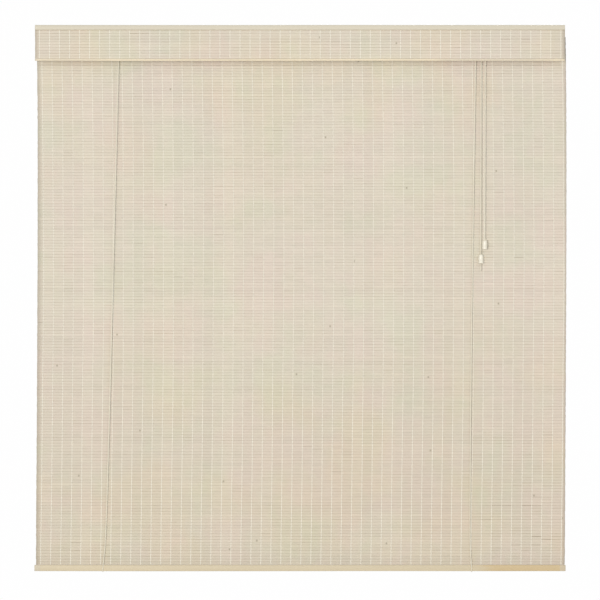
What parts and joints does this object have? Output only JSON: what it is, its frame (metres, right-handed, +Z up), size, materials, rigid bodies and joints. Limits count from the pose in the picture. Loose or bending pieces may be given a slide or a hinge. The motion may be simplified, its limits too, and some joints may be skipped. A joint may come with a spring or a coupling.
{
  "type": "bamboo roll-up blind",
  "caption": "Roll-up window blind of woven bamboo slats with a short woven valance, a head batten on two hangers, cord loops over pulleys, a cord lock and two tasselled pull cords.",
  "frame": {"origin": "on the wall, midway between the wall holes of the two hanger brackets", "axes": "+X along the blind to its right seen from the front, +Y into the wall, +Z up"},
  "size_m": [1.2044, 0.0398, 1.2398],
  "materials": {
    "bamboo_slats": "satin natural bamboo, woven",
    "bamboo_strip": "smooth satin bamboo",
    "batten_wood": "smooth satin, slightly yellow",
    "head_wood": "planed softwood",
    "cotton_thread": "matt spun cotton",
    "cotton_cord": "matt braided cotton",
    "steel": "zinc-plated, satin",
    "nylon": "white nylon",
    "tassel_plastic": "moulded ivory plastic"
  },
  "bodies": {
    "head": {"head_batten": "head_wood", "mat_back_strip": "bamboo_strip", "mat_header_slats": "bamboo_slats", "mat_slats": "bamboo_slats", "mat_threads": "cotton_thread", "mat_nails": "steel", "valance_slats": "bamboo_slats", "valance_strip": "bamboo_strip", "valance_edge_reed": "bamboo_strip", "valance_threads": "cotton_thread", "hanger_bracket_left": "steel", "hanger_bracket_right": "steel", "bracket_screws": "steel", "left_pulley_housing": "steel", "left_pulley_axle": "steel", "cord_lock_housing": "steel", "lock_axles": "steel", "lock_guide_pins": "steel", "housing_screws": "steel", "screw_eyes": "steel", "anchor_knots": "cotton_cord", "lift_cord_left": "cotton_cord", "lift_cord_right": "cotton_cord", "left_head_cord": "cotton_cord", "right_head_cord": "cotton_cord", "pull_cord_upper": "cotton_cord", "pull_cord_lower": "cotton_cord"},
    "bottom_batten": {"bottom_batten_front": "batten_wood", "bottom_batten_back": "batten_wood", "bottom_batten_nails": "steel", "mat_hem_slats": "bamboo_slats"},
    "upper_tassel": {"tassel_upper": "tassel_plastic", "tassel_knot_upper": "cotton_cord"},
    "lower_tassel": {"tassel_lower": "tassel_plastic", "tassel_knot_lower": "cotton_cord"},
    "left_wheel": {"left_pulley_wheel": "nylon"},
    "rear_wheel": {"lock_rear_wheel": "nylon"},
    "front_wheel": {"lock_front_wheel": "nylon"},
    "roller": {"lock_roller": "steel"}
  },
  "joints": [
    {"name": "raise", "type": "slide", "parent": "head", "child": "bottom_batten", "axis": [0, 0, 1], "range_m": [0, 1.08], "deforming": ["mat_slats", "mat_threads", "lift_cord_left", "lift_cord_right"]},
    {"name": "pull_upper", "type": "slide", "parent": "head", "child": "upper_tassel", "axis": [0, 0, -1], "range_m": [0, 2.16], "deforming": ["pull_cord_upper"]},
    {"name": "pull_lower", "type": "slide", "parent": "head", "child": "lower_tassel", "axis": [0, 0, -1], "range_m": [0, 2.16], "deforming": ["pull_cord_lower"]},
    {"name": "left_wheel_turn", "type": "hinge", "parent": "head", "child": "left_wheel", "pos_m": [-0.404, -0.0295, -0.0194], "axis": [0, 1, 0], "continuous": true},
    {"name": "rear_wheel_turn", "type": "hinge", "parent": "head", "child": "rear_wheel", "pos_m": [0.405, -0.024, -0.0194], "axis": [0, 1, 0], "continuous": true},
    {"name": "front_wheel_turn", "type": "hinge", "parent": "head", "child": "front_wheel", "pos_m": [0.414, -0.0295, -0.0194], "axis": [0, 1, 0], "continuous": true},
    {"name": "lock_roller_lift", "type": "slide", "parent": "head", "child": "roller", "axis": [0, 0, 1], "range_m": [0, 0.0045]}
  ],
  "couplings": [
    {"joint": "pull_upper", "follows": "raise", "ratio": 2},
    {"joint": "pull_lower", "follows": "raise", "ratio": 2},
    {"joint": "left_wheel_turn", "follows": "raise", "rad_per_m": 333.33},
    {"joint": "rear_wheel_turn", "follows": "raise", "rad_per_m": 333.33},
    {"joint": "front_wheel_turn", "follows": "raise", "rad_per_m": 333.33}
  ]
}
